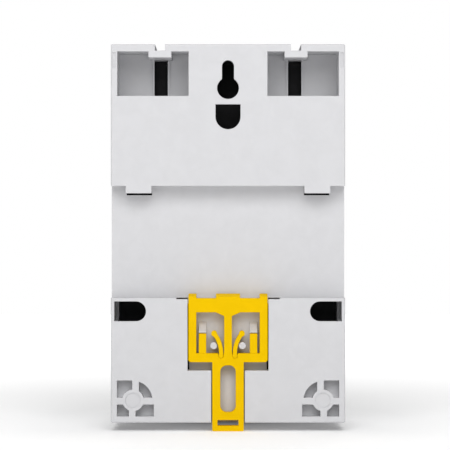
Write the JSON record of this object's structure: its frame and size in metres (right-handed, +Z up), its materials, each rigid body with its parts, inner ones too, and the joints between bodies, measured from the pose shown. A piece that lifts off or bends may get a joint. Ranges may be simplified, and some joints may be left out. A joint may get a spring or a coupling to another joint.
{
  "type": "din rail contactor",
  "caption": "Modular contactor that clips to a 35 mm rail with a sprung rear latch and switches power lines with an electromagnet.",
  "frame": {"origin": "centre of the rail seat, on the plane that the rail's front face rests against", "axes": "X along the rail, +Z up, -Y to the rail and wall, +Y to the front"},
  "size_m": [0.074, 0.0704, 0.124],
  "materials": {
    "case_grey": "fine satin texture",
    "latch_yellow": "satin",
    "frame_black": "matte",
    "carrier_brown": "matte thermoset",
    "bobbin_white": "satin",
    "core_steel": "laminated",
    "plated_steel": "zinc plated",
    "spring_steel": "drawn wire",
    "copper": "bright copper",
    "winding_copper": "enamelled wire",
    "contact_silver": "silver alloy",
    "pad_rubber": "matte",
    "cover_clear": "clear",
    "label_white": "satin film",
    "lens_green": "clear tinted",
    "indicator_red": "satin",
    "selector_black": "satin"
  },
  "bodies": {
    "case": {"rear_base": "case_grey", "terminal_housing": "case_grey", "front_cover": "case_grey", "label_plate": "label_white", "status_lens": "lens_green", "inner_frame": "frame_black", "frame_screws": "plated_steel", "core_pad": "pad_rubber", "fixed_core": "core_steel", "shading_rings": "copper", "coil_bobbin": "bobbin_white", "coil_winding": "winding_copper", "coil_terminal_a1": "plated_steel", "coil_terminal_a2": "plated_steel", "coil_terminal_screws": "plated_steel", "contact_deck": "frame_black", "deck_screws": "plated_steel", "fixed_contact_tips": "contact_silver", "return_spring_left": "spring_steel", "return_spring_right": "spring_steel", "arc_chamber_cover": "frame_black", "arc_plates_line": "plated_steel", "arc_plates_load": "plated_steel", "line_clamp_screws": "plated_steel", "load_clamp_screws": "plated_steel", "line_contact_1": "copper", "load_contact_1": "copper", "line_clamp_1": "plated_steel", "load_clamp_1": "plated_steel", "line_contact_2": "copper", "load_contact_2": "copper", "line_clamp_2": "plated_steel", "load_clamp_2": "plated_steel", "line_contact_3": "copper", "load_contact_3": "copper", "line_clamp_3": "plated_steel", "load_clamp_3": "plated_steel", "line_contact_4": "copper", "load_contact_4": "copper", "line_clamp_4": "plated_steel", "load_clamp_4": "plated_steel"},
    "latch": {"rail_latch": "latch_yellow"},
    "finger_left": {"latch_finger_left": "latch_yellow"},
    "finger_right": {"latch_finger_right": "latch_yellow"},
    "line_cover": {"line_terminal_cover": "cover_clear"},
    "load_cover": {"load_terminal_cover": "cover_clear"},
    "carrier": {"contact_carrier": "carrier_brown", "armature": "core_steel", "armature_pin": "plated_steel", "indicator_cap": "indicator_red", "contact_spring_1": "spring_steel", "contact_spring_2": "spring_steel", "contact_spring_3": "spring_steel", "contact_spring_4": "spring_steel"},
    "bridges": {"contact_bridge_1": "copper", "contact_bridge_2": "copper", "contact_bridge_3": "copper", "contact_bridge_4": "copper", "bridge_tips": "contact_silver"},
    "selector": {"mode_selector": "selector_black"}
  },
  "joints": [
    {"name": "latch_pull", "type": "slide", "parent": "case", "child": "latch", "axis": [0, 0, -1], "range_m": [0, 0.002], "stiffness_N_per_m": 800, "springref_m": -0.003},
    {"name": "finger_flex_left", "type": "hinge", "parent": "latch", "child": "finger_left", "pos_m": [-0.0022, -0.004, -0.0359], "axis": [0, 1, 0], "range_deg": [0, 8]},
    {"name": "finger_flex_right", "type": "hinge", "parent": "latch", "child": "finger_right", "pos_m": [0.0022, -0.004, -0.0359], "axis": [0, -1, 0], "range_deg": [0, 8]},
    {"name": "line_cover_hinge", "type": "hinge", "parent": "case", "child": "line_cover", "pos_m": [0, 0.0464, 0.0252], "axis": [-1, 0, 0], "range_deg": [0, 92]},
    {"name": "load_cover_hinge", "type": "hinge", "parent": "case", "child": "load_cover", "pos_m": [0, 0.0464, -0.0252], "axis": [1, 0, 0], "range_deg": [0, 92]},
    {"name": "carrier_travel", "type": "slide", "parent": "case", "child": "carrier", "axis": [0, -1, 0], "range_m": [0, 0.0049], "stiffness_N_per_m": 600, "springref_m": -0.0065, "deforming": ["return_spring_left", "return_spring_right"]},
    {"name": "bridge_overtravel", "type": "slide", "parent": "carrier", "child": "bridges", "axis": [0, 1, 0], "range_m": [0, 0.0015], "deforming": ["contact_spring_1", "contact_spring_2", "contact_spring_3", "contact_spring_4"]},
    {"name": "selector_slide", "type": "slide", "parent": "case", "child": "selector", "axis": [1, 0, 0], "range_m": [-0.0045, 0.0045]}
  ],
  "couplings": [
    {"joint": "finger_flex_left", "follows": "latch_pull", "rad_per_m": 65.45},
    {"joint": "finger_flex_right", "follows": "latch_pull", "rad_per_m": 65.45},
    {"joint": "bridge_overtravel", "follows": "carrier_travel", "ratio": 0.29592}
  ]
}
